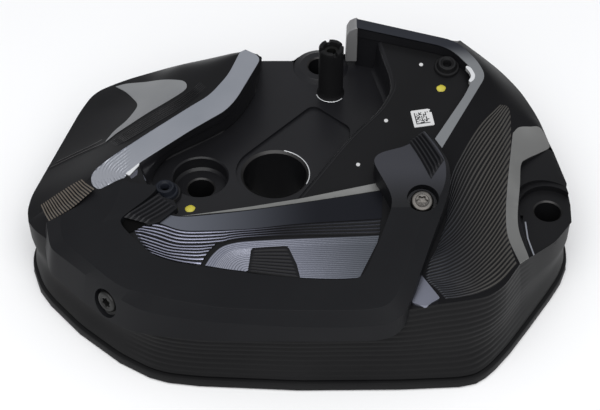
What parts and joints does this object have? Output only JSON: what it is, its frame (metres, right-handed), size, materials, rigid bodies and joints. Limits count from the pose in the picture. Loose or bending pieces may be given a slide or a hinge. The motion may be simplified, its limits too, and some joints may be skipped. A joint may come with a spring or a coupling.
{
  "type": "engine cylinder head cover",
  "caption": "Milled metal cover for the end of an engine cylinder, with coil recess, spark plug tunnel, sealing beads and a bolted impact guard.",
  "frame": {"origin": "axis of the spark plug tunnel on the gasket face", "axes": "+Z away from the cylinder head, along the plug tunnel; +X along the cover's length, towards the lower bolt seat; +Y towards the cover's high edge"},
  "size_m": [0.2708, 0.2005, 0.0758],
  "materials": {
    "coated_metal": "fine satin black coating on cast aluminium",
    "milled_metal": "bright fine milling marks",
    "seal_rubber": "matt moulded rubber",
    "guard_plastic": "fine grained moulded plastic",
    "plated_steel": "bright zinc plating",
    "insert_brass": "turned brass",
    "grommet_rubber": "smooth grey-blue rubber",
    "label_paper": "matt printed film",
    "yellow_paint": "dabbed marker paint",
    "white_paint": "dabbed marker paint"
  },
  "bodies": {
    "root": {"head_cover": "coated_metal", "perimeter_gasket": "seal_rubber", "plug_tunnel_gasket": "seal_rubber", "impact_guard": "guard_plastic", "arm_bolt": "plated_steel", "side_bolt": "plated_steel", "arm_bolt_bush": "plated_steel", "side_bolt_bush": "plated_steel", "arm_thread_insert": "insert_brass", "side_thread_insert": "insert_brass", "coil_cover_post": "coated_metal", "post_thread_insert": "insert_brass", "left_grommet": "grommet_rubber", "right_grommet": "grommet_rubber", "data_label": "label_paper", "left_paint_mark": "yellow_paint", "right_paint_mark": "yellow_paint", "check_dots": "white_paint"}
  },
  "joints": []
}
